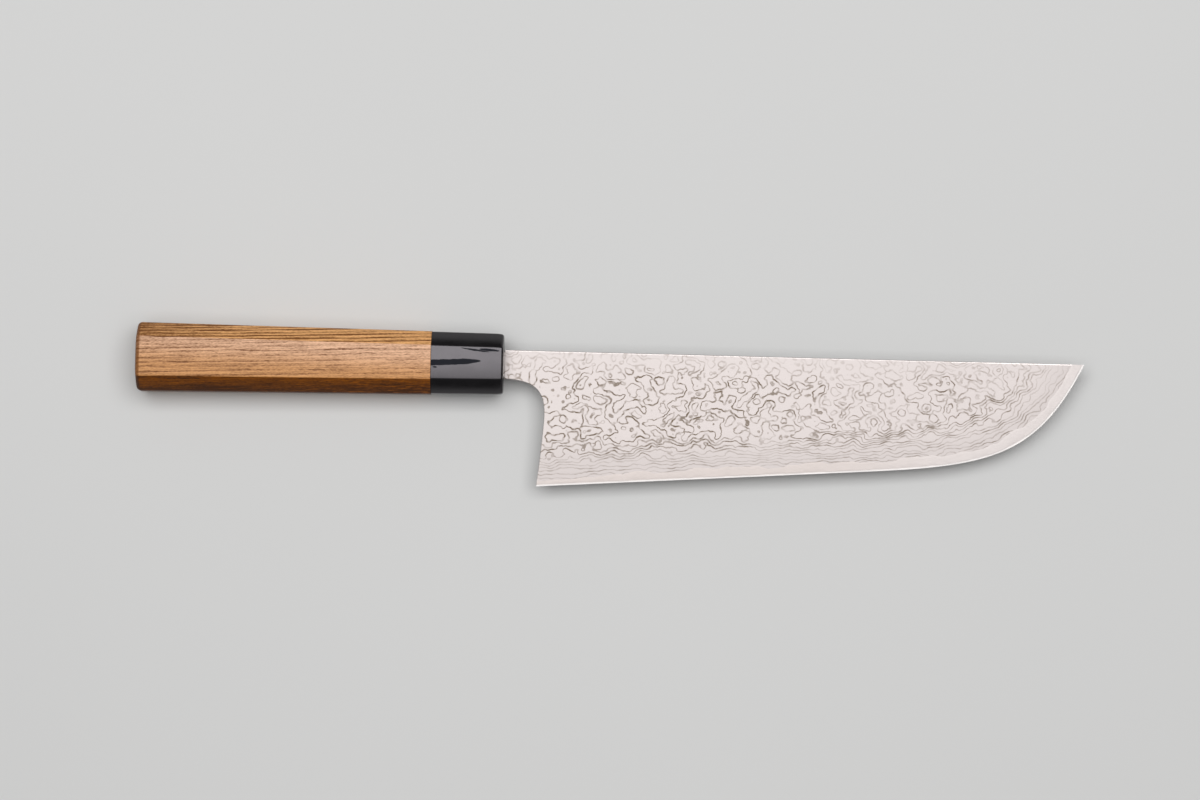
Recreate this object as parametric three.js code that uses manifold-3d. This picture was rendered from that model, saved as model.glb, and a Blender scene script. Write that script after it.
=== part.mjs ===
// Gyuto kitchen knife: a three-layer blade whose hidden tang is bedded in a doweled, eight-sided
// wooden handle behind a horn ferrule. Millimetres, and the knife lies on its side as on a table:
// +X runs towards the point, +Y towards the spine and +Z up through the blade.
import * as THREE from 'three';
import { mergeVertices } from 'three/addons/utils/BufferGeometryUtils.js';
import Module from 'manifold-3d';

const wasm = await Module();
wasm.setup();

// Blade outline. x runs forward from the ferrule's front face, y up from the handle's axis.
const BLADE_LENGTH = 210; // heel to point, along the handle's axis
const NECK_LENGTH = 13.45; // ferrule to heel
const NECK_HEIGHT = 11.1; // blade height at the ferrule
const HEEL_DEPTH = 46.65; // heel below the handle's axis
const SPINE_DROP = 0.95; // fall of the straight spine from ferrule to point
const FLAT_RISE_DEG = 3.77; // slope of the edge's straight stretch against the handle's axis
const BELLY_LENGTH = 83.9; // curved stretch of the edge, along the handle's axis
const BELLY_PULL = 0.505; // how far the belly keeps the flat's slope, as a share of its chord
const POINT_PULL = 0.43; // how far it keeps the slope at the point, as a share of its chord
const POINT_SLOPE_DEG = 64; // of the edge where it reaches the point
const CHOIL_HOLLOW = 2.5; // how far the choil curve lies ahead of the heel
const CHOIL_DROP = 12.95; // from the neck's underside to the front of the choil curve
const CHOIL_NECK_PULL = 0.51; // how far the choil keeps the neck's slope, as a share of its width
const CHOIL_FACE_PULL = 0.88; // how far it keeps the back face's slope, as a share of its drop
const NECK_FALL_DEG = 3; // slope of the neck's underside at the ferrule
const HEEL_PULL = 0.21; // how far the back face stays upright, as a share of its height

// Blade cross-section. The flat upper face runs into a ground road, and the road into the edge bevel.
const SPINE_THICKNESS = 2.3; // at the ferrule
const POINT_THICKNESS = 1.3; // of the flat faces, carried on to the point
const FACE_LEAN = 0.006; // thickness lost for each millimetre below the spine
const ROAD_ANGLE_DEG = 3.45; // each side of the road against the blade's middle plane
const ROAD_BLEND = 0.3; // softness of the line where the road meets the flat face
const EDGE_BEVEL = 0.9; // height of the sharpened bevel
const BEVEL_THICKNESS = 0.3; // at the top of that bevel
const EDGE_THICKNESS = 0.03; // at the cutting edge
const CORE_THICKNESS = 0.62; // hard middle layer
const SPINE_EASE = 0.25; // chamfer on the corners of the spine

// Handle and ferrule, which are ground together to one tapered octagon.
const HANDLE_LENGTH = 141.6; // butt to the ferrule's front face
const FERRULE_LENGTH = 27.7;
const FRONT_HEIGHT = 23.8;
const FRONT_THICKNESS = 18.4;
const BUTT_HEIGHT = 26.6;
const BUTT_THICKNESS = 21.2;
const FACET_LEG = 5.6; // each leg of the four slanted facets
const RIDGE_EASE = 0.45; // how far the ridges between facets are rounded back
const FERRULE_STEP = 0.12; // horn worn just below the wood
const FERRULE_RIM = 1.4; // rounding of the ferrule's front edge
const FERRULE_FRONT_WALL = 7; // horn in front of the dowel
const BUTT_RIM = 1.9; // rounding of the butt's edge
const BUTT_DOME = 1; // crown of the butt's end face
const BUTT_WALL = 38; // wood behind the dowel's bore

// Dowel in the handle and ferrule, with the hidden tang and its resin bedding inside it.
const DOWEL_DIAMETER = 14;
const DOWEL_TAIL = 8; // dowel behind the tang's slot
const DOWEL_END_GAP = 0.3; // at both ends of the dowel
const GLUE_LINE = 0.15; // around the dowel and on both sides of the bedding
const BEDDING_WALL = 0.35;
const TANG_THICKNESS = 2;
const TANG_END_HEIGHT = 5.6;
const TANG_END_RADIUS = 1.6; // corners of the tang's end
const SHOULDER_HEIGHT = 0.9; // step from neck to tang, above and below
const SHOULDER_GAP = 0.3; // between those shoulders and the ferrule
const TANG_ROOT = 3; // how deep the tang runs on into the neck

// Fineness of the curves.
const FLAT_STATIONS = 8;
const BELLY_STATIONS = 34;
const CLADDING_ROWS = [0, 0.06, 0.12, 0.18, 0.24, 0.3, 0.38, 0.66, 1]; // from the core line to the spine
const CHOIL_STEPS = 20;
const RIDGE_STEPS = 3;
const RIM_STEPS = 4;
const DOME_ROWS = [0, 0.4, 0.75]; // from the middle of the butt to its rounded edge
const DOWEL_SIDES = 48;
const HALVINGS = 40; // of the search for the place where the cladding ends
const MERGE_TOLERANCE = 1e-5;
const OVERRUN = 3; // how far a cutting solid passes what it cuts

// Closed meshes and solids

// A closed mesh from points and triangles, without the triangles that collapse where points coincide.
function closedMesh(points, triangles) {
  const loose = new THREE.BufferGeometry().setFromPoints(points);
  loose.setIndex(triangles.flat());
  const merged = mergeVertices(loose, MERGE_TOLERANCE);
  const kept = [];
  for (let i = 0; i < merged.index.count; i += 3) {
    const [a, b, c] = [0, 1, 2].map((corner) => merged.index.getX(i + corner));
    if (a !== b && b !== c && c !== a) kept.push(a, b, c);
  }
  merged.setIndex(kept);
  return merged;
}

// A skin over rings of equally many points, closed by a flat cap at each end. The rings follow each
// other along +X, and each runs anticlockwise when it is looked at along -X.
function loft(rings) {
  const count = rings[0].length;
  const last = (rings.length - 1) * count;
  const triangles = [];
  for (let r = 0; r < rings.length - 1; r++) {
    for (let i = 0; i < count; i++) {
      const next = (i + 1) % count;
      const [a, b] = [r * count + i, r * count + next];
      triangles.push([a, b, b + count], [a, b + count, a + count]);
    }
  }
  for (let i = 1; i < count - 1; i++) {
    triangles.push([0, i + 1, i], [last, last + i, last + i + 1]);
  }
  return closedMesh(rings.flat(), triangles);
}

function solidOf(geometry) {
  const bare = geometry.clone();
  bare.deleteAttribute('normal');
  bare.deleteAttribute('uv');
  const merged = mergeVertices(bare, MERGE_TOLERANCE);
  const vertProperties = merged.attributes.position.array;
  const triVerts = new Uint32Array(merged.index.array);
  return new wasm.Manifold(new wasm.Mesh({ numProp: 3, vertProperties, triVerts }));
}

function geometryOf(solid) {
  const mesh = solid.getMesh();
  const geometry = new THREE.BufferGeometry();
  geometry.setAttribute('position', new THREE.BufferAttribute(mesh.vertProperties, 3));
  geometry.setIndex(new THREE.BufferAttribute(mesh.triVerts, 1));
  geometry.computeVertexNormals();
  return geometry;
}

// A plate with an outline in the blade's plane, between two heights.
function plate(shape, bottom, top, curveSegments) {
  const depth = top - bottom;
  const geometry = new THREE.ExtrudeGeometry(shape, { depth, bevelEnabled: false, curveSegments });
  return solidOf(geometry.translate(0, 0, bottom));
}

// A round bar along X.
function bar(diameter, from, to) {
  const geometry = new THREE.CylinderGeometry(diameter / 2, diameter / 2, to - from, DOWEL_SIDES);
  return solidOf(geometry.rotateZ(-Math.PI / 2).translate((from + to) / 2, 0, 0));
}

// Blade outline

const slopeOf = (degrees) => Math.tan(THREE.MathUtils.degToRad(degrees));
const wayOf = (degrees) => new THREE.Vector2(1, slopeOf(degrees)).normalize();

const heel = new THREE.Vector2(NECK_LENGTH, -HEEL_DEPTH);
const point = new THREE.Vector2(NECK_LENGTH + BLADE_LENGTH, NECK_HEIGHT / 2 - SPINE_DROP);
const spineSlope = -SPINE_DROP / point.x;
const spineAt = (x) => NECK_HEIGHT / 2 + spineSlope * x;
const flatAt = (x) => new THREE.Vector2(x, heel.y + slopeOf(FLAT_RISE_DEG) * (x - heel.x));

const bellyStart = flatAt(point.x - BELLY_LENGTH);
const bellyChord = bellyStart.distanceTo(point);
const belly = new THREE.CubicBezierCurve(
  bellyStart,
  bellyStart.clone().addScaledVector(wayOf(FLAT_RISE_DEG), BELLY_PULL * bellyChord),
  point.clone().addScaledVector(wayOf(POINT_SLOPE_DEG), -POINT_PULL * bellyChord),
  point,
);

// The straight line from a place on the edge, square to the edge, up to the spine.
function rulingFrom(at, edgeWay) {
  const way = new THREE.Vector2(-edgeWay.y, edgeWay.x);
  const length = (spineAt(at.x) - at.y) / (way.y - spineSlope * way.x);
  return { at, way, length: Math.max(length, 0) };
}

const bellyRuling = (t) => rulingFrom(belly.getPoint(t), belly.getTangent(t));

// Rulings from behind the neck to a place on the belly, where t = 1 is the point.
function rulingsTo(t) {
  const start = flatAt(-OVERRUN);
  const rulings = [];
  for (let i = 0; i < FLAT_STATIONS; i++) {
    rulings.push(rulingFrom(start.clone().lerp(bellyStart, i / FLAT_STATIONS), wayOf(FLAT_RISE_DEG)));
  }
  for (let i = 0; i <= BELLY_STATIONS; i++) {
    rulings.push(bellyRuling((t * i) / BELLY_STATIONS));
  }
  return rulings;
}

// Blade cross-section: half its thickness at a distance from the edge, along a ruling

const coreHalf = CORE_THICKNESS / 2;
const coreLine = EDGE_BEVEL + (CORE_THICKNESS - BEVEL_THICKNESS) / 2 / slopeOf(ROAD_ANGLE_DEG);

function faceHalf(x, y) {
  const spine = THREE.MathUtils.lerp(SPINE_THICKNESS, POINT_THICKNESS, x / point.x);
  return (spine - FACE_LEAN * (spineAt(x) - y)) / 2;
}

function groundHalf(distance) {
  if (distance < EDGE_BEVEL) {
    return THREE.MathUtils.lerp(EDGE_THICKNESS, BEVEL_THICKNESS, distance / EDGE_BEVEL) / 2;
  }
  return BEVEL_THICKNESS / 2 + slopeOf(ROAD_ANGLE_DEG) * (distance - EDGE_BEVEL);
}

// The smaller of two values, rounded off where they cross.
function softMin(a, b, blend) {
  const share = THREE.MathUtils.clamp(0.5 + (b - a) / blend / 2, 0, 1);
  return THREE.MathUtils.lerp(b, a, share) - blend * share * (1 - share);
}

function onRuling(ruling, distance, z) {
  const { x, y } = ruling.at.clone().addScaledVector(ruling.way, distance);
  return new THREE.Vector3(x, y, z);
}

function bladeHalf(ruling, distance) {
  const { x, y } = onRuling(ruling, distance, 0);
  return softMin(groundHalf(distance), faceHalf(x, y), ROAD_BLEND);
}

// The core's section: edge, bevel, the line where the cladding starts, and the spine.
function coreRing(ruling) {
  const rows = [0, EDGE_BEVEL, coreLine, ruling.length].map((distance) => Math.min(distance, ruling.length));
  const side = (sign) => rows.map((distance) =>
    onRuling(ruling, distance, sign * Math.min(groundHalf(distance), coreHalf)));
  return [...side(1).reverse(), ...side(-1)];
}

// The right-hand cladding's section: from the core line up the ground face and over the eased spine.
function claddingRing(ruling) {
  const span = Math.max(ruling.length - coreLine, 0);
  const ease = Math.min(SPINE_EASE, span / 2);
  const outer = CLADDING_ROWS.map((share) => {
    const distance = coreLine + share * (span - ease);
    const half = share === 0 ? coreHalf : bladeHalf(ruling, distance);
    return onRuling(ruling, distance, Math.max(half, coreHalf));
  });
  const easedHalf = Math.max(bladeHalf(ruling, ruling.length) - ease, coreHalf);
  const spine = [easedHalf, coreHalf].map((z) => onRuling(ruling, coreLine + span, z));
  return [...outer, ...spine].reverse();
}

// Where on the belly the blade is no taller than the core line, so that the cladding runs out.
function claddingEnd() {
  let [low, high] = [0, 1];
  for (let i = 0; i < HALVINGS; i++) {
    const middle = (low + high) / 2;
    if (bellyRuling(middle).length > coreLine) low = middle;
    else high = middle;
  }
  return low;
}

// What is cut away behind the heel: the open corner under the neck, down the choil and past the edge.
function choilCutter() {
  const neck = new THREE.Vector2(0, -NECK_HEIGHT / 2);
  const front = new THREE.Vector2(heel.x + CHOIL_HOLLOW, neck.y - CHOIL_DROP);
  const neckPull = neck.clone().addScaledVector(wayOf(-NECK_FALL_DEG), CHOIL_NECK_PULL * front.x);
  const facePull = front.y + CHOIL_FACE_PULL * CHOIL_DROP;
  const heelPull = front.y - HEEL_PULL * (front.y - heel.y);
  const [behind, below] = [-2 * OVERRUN, heel.y - 2 * OVERRUN];
  const shape = new THREE.Shape();
  shape.moveTo(behind, neck.y);
  shape.lineTo(neck.x, neck.y);
  shape.bezierCurveTo(neckPull.x, neckPull.y, front.x, facePull, front.x, front.y);
  shape.quadraticCurveTo(front.x, heelPull, heel.x, heel.y);
  shape.lineTo(heel.x, below);
  shape.lineTo(behind, below);
  return plate(shape, -SPINE_THICKNESS, SPINE_THICKNESS, CHOIL_STEPS);
}

// What is cut away behind the shoulders of the neck.
function shoulderCutter() {
  const length = SHOULDER_GAP + 3 * OVERRUN;
  const geometry = new THREE.BoxGeometry(length, 2 * NECK_HEIGHT, 2 * SPINE_THICKNESS);
  return solidOf(geometry.translate(SHOULDER_GAP - length / 2, 0, 0));
}

// Tang

const boreEnd = -HANDLE_LENGTH + BUTT_WALL;
const dowelEnd = boreEnd + DOWEL_END_GAP;
const dowelFront = -FERRULE_FRONT_WALL - DOWEL_END_GAP;
const slotMargin = BEDDING_WALL + 2 * GLUE_LINE;
const tangEnd = dowelEnd + DOWEL_TAIL + slotMargin;

// Tang outline, grown all round by a margin, from a place in front of the ferrule to the tang's end.
function tangShape(margin, front) {
  const rootHalf = NECK_HEIGHT / 2 - SHOULDER_HEIGHT;
  const taper = (TANG_END_HEIGHT / 2 - rootHalf) / tangEnd;
  const halfAt = (x) => rootHalf + taper * x + margin;
  const end = tangEnd - margin;
  const shape = new THREE.Shape();
  shape.moveTo(front, -halfAt(front));
  shape.lineTo(front, halfAt(front));
  shape.lineTo(end + TANG_END_RADIUS, halfAt(end + TANG_END_RADIUS));
  shape.quadraticCurveTo(end, halfAt(end), end, halfAt(end) - TANG_END_RADIUS);
  shape.lineTo(end, TANG_END_RADIUS - halfAt(end));
  shape.quadraticCurveTo(end, -halfAt(end), end + TANG_END_RADIUS, -halfAt(end + TANG_END_RADIUS));
  return shape;
}

// A solid of the tang's outline and thickness, grown all round by a margin.
function tangBlock(margin, front) {
  const half = TANG_THICKNESS / 2 + margin;
  return plate(tangShape(margin, front), -half, half, RIDGE_STEPS);
}

// One layer of the blade: its lofted skin, cut to the choil and shoulders, with its share of the tang.
function layer(rings, bottom, top) {
  const blade = solidOf(loft(rings)).subtract(choilCutter()).subtract(shoulderCutter());
  return blade.add(plate(tangShape(0, SHOULDER_GAP + TANG_ROOT), bottom, top, RIDGE_STEPS));
}

const bladeCore = () => layer(rulingsTo(1).map(coreRing), -coreHalf, coreHalf);
const cladding = () => layer(rulingsTo(claddingEnd()).map(claddingRing), coreHalf, TANG_THICKNESS / 2);

// Handle

const tapered = (front, butt, x) => THREE.MathUtils.lerp(front, butt, -x / HANDLE_LENGTH);

// The handle's octagon at x, with eased ridges, set in by the same inset on all eight faces.
function octagonRing(x, inset) {
  const h = tapered(FRONT_HEIGHT, BUTT_HEIGHT, x) / 2 - inset;
  const t = tapered(FRONT_THICKNESS, BUTT_THICKNESS, x) / 2 - inset;
  const leg = FACET_LEG - inset * (2 - Math.SQRT2);
  const upper = [[h, t - leg], [h - leg, t], [leg - h, t], [-h, t - leg]];
  const lower = upper.map(([y, z]) => [-y, -z]);
  const corners = [...upper, ...lower].map(([y, z]) => new THREE.Vector2(y, z));
  const towards = (corner, other) => other.clone().sub(corner).setLength(RIDGE_EASE).add(corner);
  const shape = new THREE.Shape();
  corners.forEach((corner, i) => {
    const before = towards(corner, corners.at(i - 1));
    const after = towards(corner, corners[(i + 1) % corners.length]);
    if (i === 0) shape.moveTo(before.x, before.y);
    else shape.lineTo(before.x, before.y);
    shape.quadraticCurveTo(corner.x, corner.y, after.x, after.y);
  });
  return shape.getPoints(RIDGE_STEPS).map((corner) => new THREE.Vector3(x, corner.x, corner.y));
}

// Rings of a rounded edge, from the outer faces to an end face that looks forward (+1) or back (-1).
function rimRings(endX, radius, inset, forward) {
  const rings = [];
  for (let i = 0; i <= RIM_STEPS; i++) {
    const angle = ((i / RIM_STEPS) * Math.PI) / 2;
    const x = endX - forward * radius * (1 - Math.sin(angle));
    rings.push(octagonRing(x, inset + radius * (1 - Math.cos(angle))));
  }
  return rings;
}

const dowelBore = (from, to) => bar(DOWEL_DIAMETER + 2 * GLUE_LINE, from, to);
const rimX = -HANDLE_LENGTH + BUTT_DOME;

function handleBody() {
  const face = octagonRing(rimX, BUTT_RIM);
  const dome = DOME_ROWS.map((share) => {
    const x = -HANDLE_LENGTH + BUTT_DOME * share ** 2;
    return face.map(({ y, z }) => new THREE.Vector3(x, y * share, z * share));
  });
  const rim = rimRings(rimX, BUTT_RIM, 0, -1).reverse();
  const body = solidOf(loft([...dome, ...rim, octagonRing(-FERRULE_LENGTH, 0)]));
  return body.subtract(dowelBore(boreEnd, OVERRUN - FERRULE_LENGTH));
}

function ferrule() {
  const rim = rimRings(0, FERRULE_RIM, FERRULE_STEP, 1);
  const body = solidOf(loft([octagonRing(-FERRULE_LENGTH, FERRULE_STEP), ...rim]));
  const bored = body.subtract(dowelBore(-FERRULE_LENGTH - OVERRUN, -FERRULE_FRONT_WALL));
  return bored.subtract(tangBlock(slotMargin, OVERRUN));
}

const tangDowel = () => bar(DOWEL_DIAMETER, dowelEnd, dowelFront).subtract(tangBlock(slotMargin, OVERRUN));

// Resin between tang and slot, flush with the ferrule's face.
const tangBedding = () => tangBlock(BEDDING_WALL + GLUE_LINE, 0).subtract(tangBlock(GLUE_LINE, OVERRUN));

// Assembly

const FINISHES = {
  coreSteel: { color: 0xded6d2, roughness: 0.3, metalness: 1 },
  damascus: { color: 0xd6ccc8, roughness: 0.42, metalness: 1 },
  horn: { color: 0x0b0a09, roughness: 0.12, metalness: 0 },
  wood: { color: 0xbc8a5c, roughness: 0.5, metalness: 0 },
  dowelWood: { color: 0xcdb58a, roughness: 0.7, metalness: 0 },
  resin: { color: 0x2a211a, roughness: 0.4, metalness: 0 },
};

function piece(name, solid, finish) {
  const mesh = new THREE.Mesh(geometryOf(solid), new THREE.MeshStandardMaterial(FINISHES[finish]));
  mesh.name = name;
  return mesh;
}

const leftCladding = piece('cladding_left', cladding(), 'damascus');
leftCladding.scale.z = -1;

// The origin lies under the middle of the knife, on the surface that the handle's butt rests on.
const widestX = rimX + BUTT_RIM;
const handleTop = tapered(FRONT_HEIGHT, BUTT_HEIGHT, widestX) / 2;
const handleSide = tapered(FRONT_THICKNESS, BUTT_THICKNESS, widestX) / 2;

const knife = new THREE.Group();
knife.position.set((HANDLE_LENGTH - point.x) / 2, (HEEL_DEPTH - handleTop) / 2, handleSide);
knife.add(
  piece('blade_core', bladeCore(), 'coreSteel'),
  piece('cladding_right', cladding(), 'damascus'),
  leftCladding,
  piece('handle_body', handleBody(), 'wood'),
  piece('ferrule', ferrule(), 'horn'),
  piece('tang_dowel', tangDowel(), 'dowelWood'),
  piece('tang_bedding', tangBedding(), 'resin'),
);

const part = new THREE.Group();
part.add(knife);
export default part;
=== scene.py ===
"""A gyuto knife with a laminated blade, a horn ferrule and an eight-sided wooden handle.

The knife lies on its left side: +X runs towards the point, +Y towards the spine and +Z up. Sizes are in
millimetres in the knife's own axes, with x from the ferrule's front face, y from the handle's axis and
z from the blade's middle plane.
"""
import math

import bmesh
import bpy
import numpy as np
from mathutils import Matrix, Vector


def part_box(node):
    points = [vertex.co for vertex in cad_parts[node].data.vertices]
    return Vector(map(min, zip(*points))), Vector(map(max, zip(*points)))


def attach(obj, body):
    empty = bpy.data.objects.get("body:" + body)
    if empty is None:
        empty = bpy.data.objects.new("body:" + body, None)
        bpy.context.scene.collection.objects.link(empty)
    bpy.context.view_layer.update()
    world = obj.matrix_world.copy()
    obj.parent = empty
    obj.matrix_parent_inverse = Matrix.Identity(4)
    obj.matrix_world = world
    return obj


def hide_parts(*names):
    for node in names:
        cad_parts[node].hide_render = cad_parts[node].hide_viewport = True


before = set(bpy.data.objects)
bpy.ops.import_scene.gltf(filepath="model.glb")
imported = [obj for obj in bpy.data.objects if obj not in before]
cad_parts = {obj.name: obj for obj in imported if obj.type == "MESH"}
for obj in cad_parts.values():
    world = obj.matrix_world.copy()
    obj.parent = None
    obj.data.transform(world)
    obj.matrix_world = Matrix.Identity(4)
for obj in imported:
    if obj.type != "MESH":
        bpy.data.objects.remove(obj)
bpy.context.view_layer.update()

MM = 0.001
BODY = "root"
FERRULE_LOW, FERRULE_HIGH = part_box("ferrule")
ORIGIN = np.array(
    [
        FERRULE_HIGH.x,
        (FERRULE_LOW.y + FERRULE_HIGH.y) / 2,
        (FERRULE_LOW.z + FERRULE_HIGH.z) / 2,
    ]
)

# Blade outline
BLADE_LENGTH = 210.0  # heel to point
NECK_LENGTH = 13.45  # ferrule to heel
NECK_HEIGHT = 11.1  # blade height at the ferrule
HEEL_DEPTH = 46.65  # heel below the handle's axis
SPINE_DROP = 0.95  # fall of the straight spine from ferrule to point
FLAT_RISE = math.radians(3.77)  # slope of the edge's straight stretch
BELLY_LENGTH = 83.9  # curved stretch of the edge
BELLY_PULL = 0.505  # how far the belly keeps the straight stretch's slope, as a share of its chord
POINT_PULL = 0.43  # how far it keeps the slope at the point
POINT_SLOPE = math.radians(64)
CHOIL_HOLLOW = 2.5  # how far the choil curve lies ahead of the heel
CHOIL_DROP = 12.95  # from the neck's underside to the front of the choil curve
CHOIL_NECK_PULL = 0.51  # how far the choil keeps the neck's slope, as a share of its width
CHOIL_FACE_PULL = 0.88  # how far it keeps the back face's slope, as a share of its drop
NECK_FALL = math.radians(3)  # slope of the neck's underside at the ferrule
HEEL_PULL = 0.21  # how far the back face stays upright, as a share of its height
SHOULDER_GAP = 0.3  # between the ferrule and the blade's shoulder

# Blade cross-section
SPINE_THICKNESS = 2.3  # at the ferrule
POINT_THICKNESS = 1.3  # of the flat faces, carried on to the point
FACE_LEAN = 0.006  # thickness lost for each millimetre below the spine
ROAD_SLOPE = math.tan(math.radians(3.45))  # of each side's ground road
ROAD_BLEND = 0.3  # softness of the line where the road meets the flat face
EDGE_BEVEL = 0.9  # height of the sharpened bevel
BEVEL_THICKNESS = 0.3  # at the top of that bevel
EDGE_THICKNESS = 0.03
CORNER_EASE = 0.2  # rounding of the spine's and the choil's corners
EASE_OF_LAYER = 0.8  # most of a layer's thickness that the rounding takes
EASE_OF_HEIGHT = 0.3  # most of the cladding's height that it takes, near the point

# Line where the cladding gives way to the core, as a distance from the edge
CORE_LINE = 3.8
CORE_LINE_AT_HEEL = 1.9
CORE_LINE_AT_POINT = 4.2
HEEL_SWELL = (0.0, 55.0)  # where along the edge it grows from the heel's height
POINT_SWELL = (95.0, 190.0)  # where it grows to the point's height
CORE_WAVES = (  # length, height and phase of each of its waves
    (39.0, 0.5, 2.6),
    (21.0, 0.36, 2.1),
    (11.3, 0.26, 4.4),
    (6.1, 0.16, 1.2),
)
HEEL_CALM = 40.0  # length over which the waves grow from the heel
END_CALM = 20.0  # length over which they die out at the cladding's end
WAVE_REACH = 0.6  # how far up the cladding its rows follow the waves, as a share of its height

# Handle, ferrule and tang
HANDLE_LENGTH = 141.6  # butt to the ferrule's front face
FERRULE_LENGTH = 27.7
FRONT_HEIGHT = 23.8
FRONT_THICKNESS = 18.4
BUTT_HEIGHT = 26.6
BUTT_THICKNESS = 21.2
FACET_LEG = 5.6  # each leg of the four slanted facets
FACET_CROWN = 0.15
RIDGE_EASE = 0.5  # how far the ridges between facets are rounded back
FERRULE_STEP = 0.12  # horn worn just below the wood
FERRULE_RIM = 1.0
FERRULE_LEAD = 2.4  # length over which its faces curve in before the rim
FERRULE_LEAD_DROP = 0.2
FERRULE_FRONT_WALL = 7.0  # horn in front of the bore
BUTT_RIM = 1.9
BUTT_DOME = 1.0
SEAM_EASE = 0.1  # small bevels where wood and horn meet
BORE_DIAMETER = 14.3
BORE_END = -103.6
SLOT_HEIGHT = 10.6
SLOT_THICKNESS = 3.3
TANG_LAP = 1.0  # how far the tang's bar reaches into the neck
TANG_END = -94.65
TANG_THICKNESS = 2.0
TANG_HEIGHTS = (9.3, 5.6)  # at the neck and at its end

# Fineness of the meshes
RULED_X = 40.0  # ahead of here every column of the blade is a ruling square to the edge
LEFT_COLUMNS = 24  # behind there
FLAT_COLUMNS = 90
BELLY_COLUMNS = 96
BELLY_CROWDING = 1.3  # the columns draw closer towards the point
CHOIL_ROWS = 14
CHOIL_CURVE_ROWS = 20
NECK_ROWS = 6
ROW_GAP = 0.4  # least distance from the core line to the next row
CORE_ROWS = (0.0, 0.26, 0.5, 0.75, 1.0)  # shares of the way from the edge to the core line
EASE_STEPS = ((0.707, 0.293), (1.0, 1.0))  # share of the way out, share of the way down
RIDGE_STEPS = 5
FACET_SHARES = (0.06, 0.2, 0.35, 0.5, 0.65, 0.8, 0.94)  # places of points across a facet
RIM_STEPS = 8
LEAD_STEPS = 8
DOME_SHARES = (0.0, 0.25, 0.5, 0.75, 0.92)  # rings of the butt's end face
HANDLE_RINGS = 12
FERRULE_RINGS = (-20.0, -12.0)
STEEL_CRISP = 4.5  # degrees; mesh edges that turn by more stay crisp
HANDLE_CRISP = 40.0
MERGE = 1e-6  # metres
TINY = 1e-6  # keeps a division away from zero
EDGE_WAY = "edge_way"  # mesh attribute: x and y of the way square to the edge, and the distance from it


# Mesh helpers

def to_frame(points):
    """Knife millimetres to metres in the scene."""
    return np.asarray(points, float).reshape(-1, 3) * MM + ORIGIN


def add_object(name, data):
    added = bpy.data.objects.new(name, data)
    bpy.context.scene.collection.objects.link(added)
    return added


def quads(rows, columns, base):
    """Faces of a grid whose points are numbered row by row from a base."""
    faces = []
    for r in range(rows - 1):
        for c in range(columns - 1):
            a = base + r * columns + c
            faces.append((a, a + 1, a + columns + 1, a + columns))
    return faces


def weld(mesh):
    """Joins points that coincide, drops faces without area and turns the rest outwards."""
    work = bmesh.new()
    work.from_mesh(mesh)
    bmesh.ops.remove_doubles(work, verts=work.verts, dist=MERGE)
    bmesh.ops.dissolve_degenerate(work, edges=work.edges, dist=MERGE)
    bmesh.ops.recalc_face_normals(work, faces=work.faces)
    work.to_mesh(mesh)
    work.free()


def make_piece(name, grids, strips, crisp_degrees):
    """A closed mesh from point grids and from strips between two rows of points.

    A point is x, y and z; on the blade, the way square to the edge and the distance from it follow.
    """
    points, edge_ways, faces = [], [], []
    for grid in grids + [np.stack(strip) for strip in strips]:
        rows, columns = grid.shape[:2]
        faces.extend(quads(rows, columns, len(points)))
        points.extend(to_frame(grid[..., :3]))
        edge_ways.extend(grid[..., 3:].reshape(rows * columns, -1))
    mesh = bpy.data.meshes.new(name)
    mesh.from_pydata([tuple(p) for p in points], [], faces)
    if edge_ways[0].size:
        layer = mesh.attributes.new(EDGE_WAY, "FLOAT_VECTOR", "POINT")
        layer.data.foreach_set("vector", np.array(edge_ways).ravel())
    weld(mesh)
    mesh.shade_smooth()
    mesh.set_sharp_from_angle(angle=math.radians(crisp_degrees))
    return add_object(name, mesh)


def loft(rings, closed):
    """The grid over rings of equally many points; a closed one ends at its first ring."""
    rings = [np.asarray(ring) for ring in rings]
    if closed:
        rings.append(rings[0])
    return np.stack([np.vstack([ring, ring[:1]]) for ring in rings])


# Blade outline

def unit(angle):
    return np.array([math.cos(angle), math.sin(angle)])


def across(way):
    """Ways turned to the left by a right angle."""
    return np.stack([-way[..., 1], way[..., 0]], axis=-1)


def bezier(points, t):
    """Points and unit tangents of a cubic Bezier curve."""
    a, b, c, d = points
    t = np.asarray(t, float)[:, None]
    s = 1 - t
    at = s ** 3 * a + 3 * s ** 2 * t * b + 3 * s * t ** 2 * c + t ** 3 * d
    way = s ** 2 * (b - a) + 2 * s * t * (c - b) + t ** 2 * (d - c)
    return at, way / np.linalg.norm(way, axis=1)[:, None]


HEEL = np.array([NECK_LENGTH, -HEEL_DEPTH])
POINT = np.array([NECK_LENGTH + BLADE_LENGTH, NECK_HEIGHT / 2 - SPINE_DROP])
SPINE_SLOPE = -SPINE_DROP / POINT[0]
FLAT_WAY = unit(FLAT_RISE)
FLAT_UP = across(FLAT_WAY)
BELLY_X = POINT[0] - BELLY_LENGTH
BELLY_START = HEEL + FLAT_WAY * (BELLY_X - HEEL[0]) / FLAT_WAY[0]
BELLY_CHORD = np.linalg.norm(POINT - BELLY_START)
BELLY = (
    BELLY_START,
    BELLY_START + FLAT_WAY * BELLY_PULL * BELLY_CHORD,
    POINT - unit(POINT_SLOPE) * POINT_PULL * BELLY_CHORD,
    POINT,
)


def spine_at(x):
    return NECK_HEIGHT / 2 - SPINE_DROP * x / POINT[0]


def edge_distance(plan):
    """Distance from the line of the edge's straight stretch."""
    return (plan - HEEL) @ FLAT_UP


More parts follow.
